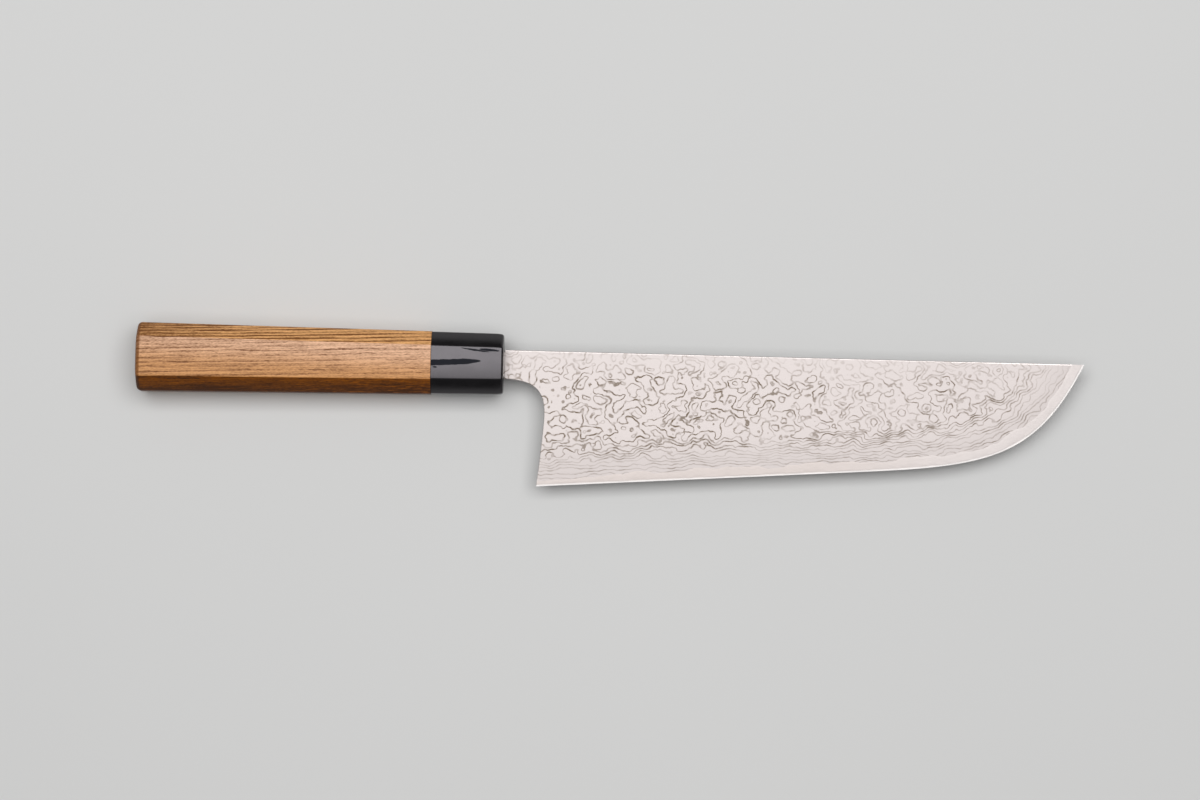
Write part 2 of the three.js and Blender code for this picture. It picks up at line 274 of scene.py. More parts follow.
def rulings():
    """Lines from the edge to the spine, square to the edge.

    Their feet, ways and lengths, and how far along the edge each foot lies from the heel.
    """
    flat_x = np.linspace(RULED_X, BELLY_X, FLAT_COLUMNS, endpoint=False)
    flat = HEEL + FLAT_WAY * ((flat_x - HEEL[0]) / FLAT_WAY[0])[:, None]
    belly_share = 1 - (1 - np.linspace(0, 1, BELLY_COLUMNS)) ** BELLY_CROWDING
    belly, belly_way = bezier(BELLY, belly_share)
    at = np.vstack([flat, belly])
    up = across(np.vstack([np.tile(FLAT_WAY, (len(flat), 1)), belly_way]))
    length = (spine_at(at[:, 0]) - at[:, 1]) / (up[:, 1] - SPINE_SLOPE * up[:, 0])
    steps = np.linalg.norm(np.diff(at, axis=0), axis=1)
    arc = np.linalg.norm(at[0] - HEEL) + np.concatenate([[0], np.cumsum(steps)])
    return at, up, np.maximum(length, 0), arc


def choil_line():
    """The blade's back from heel to ferrule: outline points, and the same set in by the rounding."""
    neck = np.array([SHOULDER_GAP, -NECK_HEIGHT / 2])
    front = np.array([HEEL[0] + CHOIL_HOLLOW, -NECK_HEIGHT / 2 - CHOIL_DROP])
    # The back face is a quadratic curve, written as a cubic one.
    lower = np.array([front[0], front[1] - HEEL_PULL * (front[1] - HEEL[1])])
    face = (HEEL, HEEL + (lower - HEEL) * 2 / 3, front + (lower - front) * 2 / 3, front)
    curve = (
        front,
        front + np.array([0, CHOIL_FACE_PULL * CHOIL_DROP]),
        neck + unit(-NECK_FALL) * CHOIL_NECK_PULL * front[0],
        neck,
    )
    face_at, face_way = bezier(face, np.linspace(0, 1, CHOIL_ROWS, endpoint=False))
    curve_at, curve_way = bezier(curve, np.linspace(0, 1, CHOIL_CURVE_ROWS))
    outline = np.vstack([face_at, curve_at])
    inset = outline - across(np.vstack([face_way, curve_way])) * CORNER_EASE
    inset[0] = HEEL + FLAT_WAY * CORNER_EASE
    return outline, inset


# Blade cross-section

def smooth(low, high, value):
    t = np.clip((value - low) / (high - low), 0, 1)
    return t * t * (3 - 2 * t)


def ground_half(distance):
    """Half the thickness of the bevel and the ground road at a distance from the edge."""
    bevel = EDGE_THICKNESS + (BEVEL_THICKNESS - EDGE_THICKNESS) * distance / EDGE_BEVEL
    road = BEVEL_THICKNESS + 2 * ROAD_SLOPE * (distance - EDGE_BEVEL)
    return np.where(distance < EDGE_BEVEL, bevel, road) / 2


def face_half(x, y):
    """Half the thickness between the flat upper faces."""
    spine = SPINE_THICKNESS + (POINT_THICKNESS - SPINE_THICKNESS) * x / POINT[0]
    return (spine - FACE_LEAN * (spine_at(x) - y)) / 2


def blade_half(plan, distance):
    """Half the blade's thickness at places in its plane that lie at a distance from the edge."""
    ground = ground_half(distance)
    face = face_half(plan[..., 0], plan[..., 1])
    share = np.clip(0.5 + (face - ground) / ROAD_BLEND / 2, 0, 1)
    return face + (ground - face) * share - ROAD_BLEND * share * (1 - share)


def core_line(arc):
    """The core line's mean distance from the edge, at places along the edge."""
    from_heel = CORE_LINE_AT_HEEL + (CORE_LINE - CORE_LINE_AT_HEEL) * smooth(*HEEL_SWELL, arc)
    return from_heel + (CORE_LINE_AT_POINT - CORE_LINE) * smooth(*POINT_SWELL, arc)


def blade_columns():
    """Rulings to the point, with one put in where the blade is just as tall as the core line."""
    columns = rulings()
    _, _, length, arc = columns
    gap = length - core_line(arc)
    last = int(np.argmax(gap < 0)) - 1
    share = gap[last] / (gap[last] - gap[last + 1])
    put_in = [v[last] + (v[last + 1] - v[last]) * share for v in columns]
    at, up, length, arc = (np.insert(v, last + 1, p, axis=0) for v, p in zip(columns, put_in))
    length[last + 1] = core_line(arc[last + 1])
    return at, up, length, arc, last + 1


AT, UP, LENGTH, ARC, CLADDING_END = blade_columns()
CHOIL_OUTLINE, CHOIL_INSET = choil_line()


def core_wave(arc):
    """How far the core line waves away from its mean distance."""
    wave = 0
    for length, height, phase in CORE_WAVES:
        wave = wave + height * np.sin(2 * math.pi * arc / length + phase)
    return wave * smooth(0, HEEL_CALM, arc) * smooth(0, END_CALM, ARC[CLADDING_END] - arc)


def core_half_at(arc, length):
    """Half the core's thickness under the cladding, at places along the edge."""
    return ground_half(np.minimum(core_line(arc) + core_wave(arc), length))


# Blade meshes

def on_choil(distance):
    """Outline and inset points of the choil at distances from the edge."""
    known = edge_distance(CHOIL_INSET)
    lines = []
    for line in (CHOIL_OUTLINE, CHOIL_INSET):
        lines.append(np.stack([np.interp(distance, known, line[:, k]) for k in (0, 1)], axis=-1))
    return lines


def plan_grid(distances, left_inset):
    """Places in the blade's plane: straight rows from the choil to the first ruling, then on rulings.

    With them come their distances from the edge, their places along it, the ways square to it, and the
    blade's height in each column.
    """
    rows = len(distances)
    main = AT[None] + UP[None] * distances[..., None]
    share = np.linspace(0, 1, LEFT_COLUMNS, endpoint=False)[None, :, None]
    left = left_inset[:, None] * (1 - share) + main[:, :1] * share
    plan = np.concatenate([left, main], axis=1)
    distance = np.concatenate([edge_distance(left), distances], axis=1)
    arc = np.concatenate([(left - HEEL) @ FLAT_WAY, np.tile(ARC, (rows, 1))], axis=1)
    left_up = np.tile(FLAT_UP, (rows, LEFT_COLUMNS, 1))
    up = np.concatenate([left_up, np.tile(UP, (rows, 1, 1))], axis=1)
    length = np.concatenate([np.full(LEFT_COLUMNS, LENGTH[0]), LENGTH])
    return plan, distance, arc, up, length


def wave_core_line(plan, distance, arc, up, length):
    """Moves the rows on both sides of the core line along with its waves."""
    line = np.minimum(core_line(arc), length)
    below = distance / np.maximum(line, TINY)
    above = 1 - (distance - line) / np.maximum(WAVE_REACH * (length - line), TINY)
    shift = core_wave(arc) * np.clip(np.where(distance < line, below, above), 0, 1)
    return plan + up * shift[..., None], distance + shift


def eased_grid(plan, half, floor, edge_way, left_out, top_out):
    """A face whose back and top corners are rounded off, and the floor under each of its points."""
    ease = np.minimum(CORNER_EASE, EASE_OF_LAYER * (half - floor))
    steps = len(EASE_STEPS)
    rows, columns = half.shape
    face = np.zeros((rows + steps, columns + steps, 6))
    low = np.zeros((rows + steps, columns + steps))
    outwards, downwards = zip((0.0, 0.0), *EASE_STEPS)
    for r in range(rows + steps):
        for c in range(columns + steps):
            row = min(r, rows - 1)
            column = max(c - steps, 0)
            top = r - row
            back = max(steps - c, 0)
            place = plan[row, column] + outwards[top] * top_out[column] + outwards[back] * left_out[row]
            drop = max(downwards[top], downwards[back]) * ease[row, column]
            face[r, c] = (*place, half[row, column] - drop, *edge_way[row, column])
            low[r, c] = floor[row, column]
    return face, low


def back_rows():
    """The cladding's rows at the blade's back, from core line to spine.

    Their distances from the edge, and their points on the outline and set in by the rounding.
    """
    choil = edge_distance(CHOIL_INSET)
    rows = np.concatenate([[CORE_LINE_AT_HEEL], choil[choil > CORE_LINE_AT_HEEL + ROW_GAP]])
    outline, inset = on_choil(rows)
    outline[-1, 0] = SHOULDER_GAP
    inset[-1, 0] = SHOULDER_GAP + CORNER_EASE
    spine = spine_at(SHOULDER_GAP)
    outline_top = np.array([SHOULDER_GAP, spine])
    inset_top = np.array([inset[-1, 0], spine - CORNER_EASE])
    share = np.linspace(0, 1, NECK_ROWS + 1)[1:, None]
    neck_outline = outline[-1] + (outline_top - outline[-1]) * share
    neck_inset = inset[-1] + (inset_top - inset[-1]) * share
    top = LENGTH[0] - CORNER_EASE
    rows = np.concatenate([rows, rows[-1] + (top - rows[-1]) * share[:, 0]])
    return rows, np.vstack([outline, neck_outline]), np.vstack([inset, neck_inset])


def upper_grid():
    """The cladding's outer face from core line to spine, and the height of the core under each point."""
    rows, left_outline, left_inset = back_rows()
    share = (rows - rows[0]) / (rows[-1] - rows[0])
    line = np.minimum(core_line(ARC), LENGTH)
    ease = np.minimum(CORNER_EASE, EASE_OF_HEIGHT * (LENGTH - line))
    distances = line + share[:, None] * (LENGTH - ease - line)
    plan, distance, arc, up, length = plan_grid(distances, left_inset)
    floor = core_half_at(arc, length)
    plan, distance = wave_core_line(plan, distance, arc, up, length)
    half = np.maximum(blade_half(plan, distance), floor)
    half[0] = floor[0]
    spine_points = np.stack([plan[-1, :, 0], spine_at(plan[-1, :, 0])], axis=-1)
    spine_points[LEFT_COLUMNS:] = AT + UP * LENGTH[:, None]
    edge_way = np.concatenate([up, distance[..., None]], axis=-1)
    left_out = left_outline - plan[:, 0]
    top_out = spine_points - plan[-1]
    return eased_grid(plan, half, floor, edge_way, left_out, top_out)


def exposed_grid():
    """The core's bare band from the edge to the core line."""
    rows = np.array(CORE_ROWS)
    line = np.minimum(core_line(ARC), LENGTH)
    distances = rows[:, None] * line
    distances[1] = np.minimum(EDGE_BEVEL, distances[1])
    at_choil = rows * CORE_LINE_AT_HEEL
    at_choil[1] = EDGE_BEVEL
    outline, inset = on_choil(at_choil)
    outline[0] = HEEL
    plan, distance, arc, up, length = plan_grid(distances, inset)
    top = core_half_at(arc, length)
    plan, distance = wave_core_line(plan, distance, arc, up, length)
    half = np.minimum(ground_half(np.maximum(distance, 0)), top)
    half[-1] = top[-1]
    floor = half / 2
    floor[-1] = half[-1]
    edge_way = np.concatenate([up, distance[..., None]], axis=-1)
    no_top = np.zeros((half.shape[1], 2))
    face, _ = eased_grid(plan, half, floor, edge_way, outline - plan[:, 0], no_top)
    return face[: len(rows)]


def with_height(grid, height):
    flat = grid.copy()
    flat[..., 2] = height
    return flat


def mirrored(grid):
    """The same points on the other side of the blade's middle plane."""
    return grid * np.array([1, 1, -1, 1, 1, 1])


def tang_bar(bottom, top):
    """A closed, tapered bar for one layer's share of the hidden tang."""
    start = SHOULDER_GAP + TANG_LAP
    middle = (bottom + top) / 2
    thickness = top - bottom
    sections = (
        (start, 0, 0),
        (start, TANG_HEIGHTS[0], thickness),
        (TANG_END, TANG_HEIGHTS[1], thickness),
        (TANG_END, 0, 0),
    )
    rings = []
    for x, height, thick in sections:
        h, low, high = height / 2, middle - thick / 2, middle + thick / 2
        rings.append([(x, h, high), (x, -h, high), (x, -h, low), (x, h, low)])
    bar = loft(rings, closed=False)
    edge_way = np.broadcast_to((0, 1, HEEL_DEPTH), bar.shape)
    return np.concatenate([bar, edge_way], axis=-1)


def build_blade():
    """Core, right-hand cladding and left-hand cladding."""
    outer, floor = upper_grid()
    inner = with_height(outer, floor)
    exposed = exposed_grid()
    end = LEFT_COLUMNS + len(EASE_STEPS) + CLADDING_END + 1
    skin, bed = outer[:, :end], inner[:, :end]
    right_walls = [(skin[-1], bed[-1]), (skin[:, 0], bed[:, 0])]
    left_walls = [(mirrored(a), mirrored(b)) for a, b in right_walls]
    core_rims = (exposed[0], inner[-1], exposed[:, 0], inner[:, 0])
    core_walls = [(rim_row, mirrored(rim_row)) for rim_row in core_rims]
    tang_half = TANG_THICKNESS / 2
    core_half = float(ground_half(CORE_LINE))
    right_grids = [skin, bed, tang_bar(core_half, tang_half)]
    left_grids = [mirrored(skin), mirrored(bed), tang_bar(-tang_half, -core_half)]
    core_grids = [exposed, inner, mirrored(exposed), mirrored(inner), tang_bar(-core_half, core_half)]
    right = make_piece("cladding_right_damascus", right_grids, right_walls, STEEL_CRISP)
    left = make_piece("cladding_left_damascus", left_grids, left_walls, STEEL_CRISP)
    core = make_piece("blade_core_ground", core_grids, core_walls, STEEL_CRISP)
    return core, right, left


# Handle meshes

def tapered(front, butt, x):
    return front + (butt - front) * -x / HANDLE_LENGTH


def octagon_corners(x, inset):
    h = tapered(FRONT_HEIGHT, BUTT_HEIGHT, x) / 2 - inset
    t = tapered(FRONT_THICKNESS, BUTT_THICKNESS, x) / 2 - inset
    leg = FACET_LEG - inset * (2 - math.sqrt(2))
    upper = [(h, t - leg), (h - leg, t), (leg - h, t), (-h, t - leg)]
    return np.array(upper + [(-y, -z) for y, z in upper])


def octagon(x, inset):
    """The handle's octagon at x, set in on all faces, with eased ridges and slightly crowned facets."""
    corners = octagon_corners(x, inset + FACET_CROWN)
    ring = []
    for i, corner in enumerate(corners):
        following = corners[(i + 1) % len(corners)]
        before = corners[i - 1] - corner
        after = following - corner
        before = before / np.linalg.norm(before)
        after = after / np.linalg.norm(after)
        for s in np.linspace(0, 1, RIDGE_STEPS + 1):
            ring.append(corner + RIDGE_EASE * ((1 - s) ** 2 * before + s ** 2 * after))
        out = np.array([after[1], -after[0]])
        start = corner + RIDGE_EASE * after
        end = following - RIDGE_EASE * after
        for s in FACET_SHARES:
            ring.append(start + s * (end - start) + out * FACET_CROWN * 4 * s * (1 - s))
    return np.array([(x, y, z) for y, z in ring])


def rim(end, radius, inset, forward, start=0.0):
    """Rings of a rounded edge, from a slope to an end face that looks forward (1) or back (-1)."""
    rings = []
    for angle in np.linspace(start, math.pi / 2, RIM_STEPS + 1):
        x = end - forward * radius * (1 - math.sin(angle))
        rings.append(octagon(x, inset + radius * (math.cos(start) - math.cos(angle))))
    return rings


def round_ring(x, diameter, like):
    """A circle with a point for each point of the ring around it."""
    angle = np.arctan2(like[:, 2], like[:, 1])
    y = np.cos(angle) * diameter / 2
    z = np.sin(angle) * diameter / 2
    return np.stack([np.full(len(like), x), y, z], axis=1)


def slot_ring(x, like):
    """The tang's slot, with a point for each point of the ring around it."""
    y, z = like[:, 1], like[:, 2]
    scale = 1 / np.maximum(np.abs(y) / (SLOT_HEIGHT / 2), np.abs(z) / (SLOT_THICKNESS / 2))
    ring = np.stack([np.full(len(like), x), y * scale, z * scale], axis=1)
    for side_y in (-1, 1):
        for side_z in (-1, 1):
            corner = np.array([x, side_y * SLOT_HEIGHT / 2, side_z * SLOT_THICKNESS / 2])
            ring[np.argmin(np.linalg.norm(ring - corner, axis=1))] = corner
    return ring


def build_handle():
    """The wooden body: domed butt, tapered facets, a bevel at the seam and the bore for the dowel."""
    rim_x = -HANDLE_LENGTH + BUTT_DOME
    face = octagon(rim_x, BUTT_RIM)
    dome = []
    for share in DOME_SHARES:
        ring = face * np.array([1, share, share])
        ring[:, 0] = -HANDLE_LENGTH + BUTT_DOME * share ** 2
        dome.append(ring)
    butt = rim(rim_x, BUTT_RIM, 0, -1)[::-1]
    sides = [octagon(x, 0) for x in np.linspace(rim_x + BUTT_RIM, -FERRULE_LENGTH, HANDLE_RINGS)[1:-1]]
    front = [octagon(-FERRULE_LENGTH - SEAM_EASE, 0), octagon(-FERRULE_LENGTH, SEAM_EASE)]
    bore = [round_ring(x, BORE_DIAMETER, front[-1]) for x in (-FERRULE_LENGTH, BORE_END)]
    bore.append(round_ring(BORE_END, 0, front[-1]))
    body = loft(dome + butt + sides + front + bore, closed=False)
    return make_piece("handle_body_wood", [body], [], HANDLE_CRISP)


def build_ferrule():
    """The horn: bevelled seam, facets that curve in to a rounded rim, the tang's slot and the bore."""
    seam = [
        octagon(-FERRULE_LENGTH, FERRULE_STEP + SEAM_EASE),
        octagon(-FERRULE_LENGTH + SEAM_EASE, FERRULE_STEP),
    ]
    slope = math.atan(2 * FERRULE_LEAD_DROP / FERRULE_LEAD)
    lead_end = -FERRULE_RIM * (1 - math.sin(slope))
    sides = [octagon(x, FERRULE_STEP) for x in (*FERRULE_RINGS, lead_end - FERRULE_LEAD)]
    for share in np.linspace(0, 1, LEAD_STEPS + 1)[1:-1]:
        x = lead_end - FERRULE_LEAD * (1 - share)
        sides.append(octagon(x, FERRULE_STEP + FERRULE_LEAD_DROP * share ** 2))
    front = rim(0, FERRULE_RIM, FERRULE_STEP + FERRULE_LEAD_DROP, 1, slope)
    slot = [slot_ring(x, front[-1]) for x in (0, -FERRULE_FRONT_WALL)]
    bore = [round_ring(x, BORE_DIAMETER, seam[0]) for x in (-FERRULE_FRONT_WALL, -FERRULE_LENGTH)]
    body = loft(seam + sides + front + slot + bore, closed=True)
    return make_piece("ferrule_horn", [body], [], HANDLE_CRISP)


# Material helpers

class Graph:
    """A material's node tree, with short ways to add nodes."""

    def __init__(self, name):
        self.material = bpy.data.materials.new(name)
        self.material.use_nodes = True
        self.tree = self.material.node_tree
        self.shader = self.tree.nodes["Principled BSDF"]

    def node(self, kind, values=(), **settings):
        made = self.tree.nodes.new("ShaderNode" + kind)
        for key, value in settings.items():
            setattr(made, key, value)
        for key, value in dict(values).items():
            self.feed(made.inputs[key], value)
        return made

    def feed(self, socket, value):
        if isinstance(value, bpy.types.NodeSocket):
            self.tree.links.new(value, socket)
        else:
            socket.default_value = value

    def math(self, operation, *values):
        return self.node("Math", enumerate(values), operation=operation).outputs[0]

    def vector(self, operation, *values):
        made = self.node("VectorMath", enumerate(values), operation=operation)
        return made.outputs["Value" if operation == "LENGTH" else "Vector"]

    def split(self, vector):
        return self.node("SeparateXYZ", {0: vector}).outputs[:3]

    def join(self, x, y, z):
        return self.node("CombineXYZ", {0: x, 1: y, 2: z}).outputs[0]

    def ramp(self, value, low, high, start=0.0, end=1.0, soft=True):
        """Runs from start to end as the value goes from low to high, and is level outside."""
        interpolation = "SMOOTHSTEP" if soft else "LINEAR"
        inputs = {"Value": value, "From Min": low, "From Max": high, "To Min": start, "To Max": end}
        return self.node("MapRange", inputs, interpolation_type=interpolation).outputs["Result"]

    def mix(self, factor, a, b):
        made = self.node("Mix", data_type="RGBA")
        for index, value in ((0, factor), (6, a), (7, b)):
            self.feed(made.inputs[index], value)
        return made.outputs[2]

    def noise(self, vector, scale, detail=2.0, rough=0.5):
        inputs = {"Vector": vector, "Scale": scale, "Detail": detail, "Roughness": rough}
        return self.node("TexNoise", inputs).outputs["Fac"]

    def streaks(self, place, along, over, detail=2.0, rough=0.5):
        """Noise drawn out along the knife, by its scales along the knife and over it."""
        return self.noise(self.vector("MULTIPLY", place, (along, over, over)), 1.0, detail, rough)

    def bump(self, height, distance_mm):
        made = self.node("Bump", {"Height": height, "Distance": distance_mm * MM})
        self.feed(self.shader.inputs["Normal"], made.outputs["Normal"])

    def set(self, **values):
        for key, value in values.items():
            self.feed(self.shader.inputs[key.replace("_", " ")], value)


class KnifeGraph(Graph):
    """A graph with the place on the knife, in millimetres in the knife's own axes."""

    def __init__(self, name):
        super().__init__(name)
        place = self.vector("SUBTRACT", self.node("TexCoord").outputs["Object"], tuple(ORIGIN))
        self.place = self.vector("MULTIPLY", place, (1 / MM, 1 / MM, 1 / MM))
        self.x, self.y, self.z = self.split(self.place)


def from_edge(g):
    """The way square to the edge, in x and y, and the distance from the edge."""
    return g.split(g.node("Attribute", attribute_name=EDGE_WAY).outputs["Vector"])


def rgb(red, green, blue):
    return (red, green, blue, 1.0)


GOLDEN = 0.618  # steps of this size give neighbouring layers and growth rings unlike strengths


# Damascus

STEEL_TONES = (rgb(0.4876, 0.44712, 0.43608), rgb(0.53, 0.486, 0.474))  # darkest and palest grain
STEEL_LINE = rgb(0.19, 0.145, 0.105)
LINES_PER_MM = 0.72  # where the ground face cuts the layers, near the edge
BELLY_LINES = 1.14  # times as many on the belly
BELLY_LINES_X = (90.0, 140.0)
POINT_LINES = 0.78  # times the belly's at the point
POINT_LINES_X = (155.0, 200.0)
LINES_FADE = (11.5, 19.5)  # distances from the edge over which the face runs out parallel to the layers
LINES_REACH = 1.2  # how much wider that band is at the point
LINES_REACH_X = (100.0, 190.0)
ROLLS = ((0.13, 4.2, 0.0), (0.27, 3.4, 0.0), (0.72, 0.75, 0.5))  # scale, height and detail
ROLL_BASE = -4.1
ROLL_STRETCH = (0.92, 1.08, 1.0)
ROLL_GROWTH = (5.0, 15.5)  # distances from the edge over which the rolls grow to their full height
ROLL_AT_EDGE = (0.42, 0.58)  # their share of it near the edge, at the heel and on the belly
ROLL_AT_EDGE_X = (100.0, 160.0)
SLOPE_STEP = 0.12  # distance over which a slope is taken
LEAST_SLOPE = 0.4
LINE_WIDTH = 0.46
LINE_SOFTNESS = (0.22, 0.82)  # shares of that width between which a line fades out
EDGE_BAND = (8.0, 16.0)  # distances from the edge over which lines grow wider and darker
EDGE_STRENGTH = (0.45, 0.55)  # of lines near the edge, at the heel and on the belly
EDGE_STRENGTH_X = (100.0, 150.0)
SPINE_BAND = (-6.0, 4.0)  # heights over which lines grow fainter towards the spine
SPINE_STRENGTH = 0.36
SPINE_BAND_RISE = 3.0  # how much higher that band lies at the point
SPINE_BAND_X = (150.0, 200.0)
POLISHED_SPINE = (0.15, 0.5)  # distances below the spine over which its polish gives way to the etch
ETCH_DEPTH = 0.012


def layer_cut(g, depth, reach):
    """How many layers the ground face cuts through from the edge up, and how fast that number grows."""
    start, end = LINES_FADE
    fade = g.ramp(depth, start, end, soft=False)
    beyond = g.math("MULTIPLY", fade, end - start)
    beyond = g.math("MULTIPLY", g.math("MULTIPLY_ADD", fade, -0.5, 1.0), beyond)
    belly = g.ramp(g.x, *BELLY_LINES_X, LINES_PER_MM, BELLY_LINES * LINES_PER_MM)
    density = g.math("MULTIPLY", belly, g.ramp(g.x, *POINT_LINES_X, 1.0, POINT_LINES))
    cut = g.math("MULTIPLY", g.math("ADD", g.math("MINIMUM", depth, start), beyond), density)
    growth = g.math("MULTIPLY", density, g.math("SUBTRACT", 1.0, fade))
    return g.math("MULTIPLY", cut, reach), growth


def layer_roll(g, seed, dx, dy):
    """How high the layers roll a small step away from each place, counted in layers."""
    moved = g.vector("ADD", g.join(g.x, g.y, seed), (dx, dy, 0.0))
    moved = g.vector("MULTIPLY", moved, ROLL_STRETCH)
    height = ROLL_BASE
    for scale, swell, detail in ROLLS:
        height = g.math("MULTIPLY_ADD", g.noise(moved, scale, detail), swell, height)
    return height


def layers(g, seed):
    """Depth above the edge, number of the layer at the face, and how fast that number changes."""
    up_x, up_y, distance = from_edge(g)
    reach = g.ramp(g.x, *LINES_REACH_X, 1.0, LINES_REACH)
    depth = g.math("DIVIDE", distance, reach)
    cut, growth = layer_cut(g, depth, reach)
    swing = g.ramp(depth, *ROLL_GROWTH, g.ramp(g.x, *ROLL_AT_EDGE_X, *ROLL_AT_EDGE), 1.0)
    height = layer_roll(g, seed, 0.0, 0.0)
    rise = g.math("DIVIDE", swing, SLOPE_STEP)
    slopes = []
    for up, dx, dy in ((up_x, SLOPE_STEP, 0.0), (up_y, 0.0, SLOPE_STEP)):
        change = g.math("SUBTRACT", layer_roll(g, seed, dx, dy), height)
        slopes.append(g.math("MULTIPLY_ADD", up, growth, g.math("MULTIPLY", change, rise)))
    slope = g.math("MAXIMUM", g.vector("LENGTH", g.join(*slopes, 0.0)), LEAST_SLOPE)
    return depth, g.math("MULTIPLY_ADD", height, swing, cut), slope


def patches(g, seed, scale, detail):
    """Noise in the blade's plane."""
    return g.noise(g.join(g.x, g.y, seed), scale, detail)


def layer_lines(g, seed, depth, level, slope):
    """Lines of uneven width where one layer meets the next."""
    away = g.math("ABSOLUTE", g.math("SUBTRACT", g.math("FRACT", level), 0.5))
    width = g.ramp(patches(g, seed + 4.0, 0.16, 1.0), 0.35, 0.65, 0.7, 1.3)
    width = g.math("MULTIPLY", width, g.ramp(depth, *EDGE_BAND, 0.75, 1.0))
    away = g.math("DIVIDE", g.math("DIVIDE", away, slope), width)
    inner, outer = (share * LINE_WIDTH for share in LINE_SOFTNESS)
    return g.ramp(away, inner, outer, 1.0, 0.0)


def etch_strength(g, seed, depth, level, slope):
    """How darkly lines are etched: by layer and in patches, with breaks on the flat face."""
    layer = g.math("FRACT", g.math("MULTIPLY", g.math("FLOOR", level), GOLDEN))
    patch = g.ramp(patches(g, seed + 9.0, 0.035, 2.0), 0.3, 0.6, 0.6, 1.0)
    strength = g.math("MULTIPLY", patch, g.math("MULTIPLY_ADD", layer, 0.45, 0.5))
    strength = g.math("MULTIPLY", strength, g.ramp(slope, LEAST_SLOPE, 1.1, 0.82, 1.26))
    breaks = g.ramp(patches(g, seed + 17.0, 0.4, 1.0), 0.36, 0.6, 0.4, 1.1)
    breaks = g.math("MAXIMUM", breaks, g.ramp(depth, *LINES_FADE, 0.6, 0.0))
    return g.math("MULTIPLY", strength, breaks)


def etch_fading(g, depth):
    """How much of the etch is left towards the spine and towards the edge."""
    height = g.math("MULTIPLY_ADD", g.ramp(g.x, *SPINE_BAND_X), -SPINE_BAND_RISE, g.y)
    towards_spine = g.ramp(height, *SPINE_BAND, 1.0, SPINE_STRENGTH)
    at_edge = g.ramp(g.x, *EDGE_STRENGTH_X, *EDGE_STRENGTH)
    return g.math("MULTIPLY", towards_spine, g.ramp(depth, *EDGE_BAND, at_edge, 1.0))


def damascus(name, seed):
    """Etched damascus: thin layers that roll up and down and show as lines where the face cuts them."""
    g = KnifeGraph(name)
    depth, level, slope = layers(g, seed)
    line = layer_lines(g, seed, depth, level, slope)
    line = g.math("MULTIPLY", line, etch_strength(g, seed, depth, level, slope))
    line = g.math("MULTIPLY", line, etch_fading(g, depth))
    grain = g.mix(g.streaks(g.place, 0.35, 6.0, detail=3.0), *STEEL_TONES)
    g.set(Base_Color=g.mix(line, grain, STEEL_LINE), Metallic=1.0)
    spine = g.math("MULTIPLY_ADD", g.x, SPINE_SLOPE, NECK_HEIGHT / 2)
    polish = g.ramp(g.math("SUBTRACT", spine, g.y), *POLISHED_SPINE, -0.3, 0.0)
    g.set(Roughness=g.math("ADD", polish, g.ramp(line, 0.0, 1.0, 0.58, 0.68, soft=False)))
    g.bump(g.math("SUBTRACT", 1.0, line), ETCH_DEPTH)
    return g.material


# Core steel

CORE_BACK = (rgb(0.47, 0.424, 0.403), rgb(0.53, 0.478, 0.458))  # darkest and palest near the heel
CORE_FRONT = (rgb(0.50, 0.462, 0.45), rgb(0.56, 0.518, 0.506))  # towards the point
CORE_FRONT_X = (110.0, 190.0)
CORE_HONED = rgb(0.66, 0.632, 0.62)
HONED_SHARE = 0.3  # of the bevel that is fully honed
BRUSH_DEPTH = 0.003


def core_steel():
    """Plain hard steel, brushed along the edge, with a honed bevel."""
    g = KnifeGraph("core_steel")
    distance = from_edge(g)[2]
    honed = g.ramp(distance, HONED_SHARE * EDGE_BEVEL, EDGE_BEVEL, 1.0, 0.0)
    brush = g.streaks(g.place, 0.5, 9.0, detail=3.0)
    cloud = g.noise(g.place, 0.12)
    shade = g.math("MULTIPLY_ADD", brush, 0.5, g.math("MULTIPLY", cloud, 0.5))
    front = g.ramp(g.x, *CORE_FRONT_X)
    colour = g.mix(front, g.mix(shade, *CORE_BACK), g.mix(shade, *CORE_FRONT))
    g.set(Base_Color=g.mix(honed, colour, CORE_HONED), Metallic=1.0)
    g.set(Roughness=g.math("MULTIPLY_ADD", honed, -0.12, g.ramp(brush, 0.2, 0.8, 0.52, 0.6)))
    g.bump(brush, BRUSH_DEPTH)
    return g.material


# Handle wood

RING_WIDTH = 1.5
RING_SWAY = 2.6  # how far the growth rings wander
RING_TURN = (0.18, -0.31)  # rings added for each millimetre past the upper ridge, at butt and ferrule
PITH = (-21.0, 24.0)  # the middle of the growth rings at the ferrule's front, above the edge's side
GRAIN_SLANT = 0.037  # the grain climbs towards the spine as it runs forward
RING_FADE = -0.45  # change of the rings' strength in the darker stripe, which is partly darker wood and partly painted shade
PORE_SHADE = -0.45
PORE_DEPTH = 0.03
FIBRE_HEIGHT = 0.3  # of the fibres, as a share of that depth
GRIT_SHADE = 0.18
SPINE_SIDE = (0.97, 1.04)  # shares of the way to the upper ridge between which the spine's side begins
SPINE_TONE = -0.4  # the spine's side is darker at the butt
SPINE_TONE_END = -92.0
HEART_AND_SHADE_MIDDLE = (-25.4, 8.0)  # the middle of a darker stripe, at the ferrule's front; the stripe is partly darker wood and partly painted shade
HEART_AND_SHADE_BORDER = (18.95, 19.3)  # distances from there between which the stripe ends
HEART_AND_SHADE_DRIFT = (0.0099, -0.0099)  # the stripe's border follows the ridge of the lower chamfer
HEART_AND_SHADE_RIDGE = (-FRONT_HEIGHT / 2, FRONT_THICKNESS / 2 - FACET_LEG)  # where it is darkest, with painted shade
HEART_AND_SHADE_REACH = 8.0  # distance from there at which it is palest
WOOD_LIGHT = rgb(0.635, 0.305, 0.11)
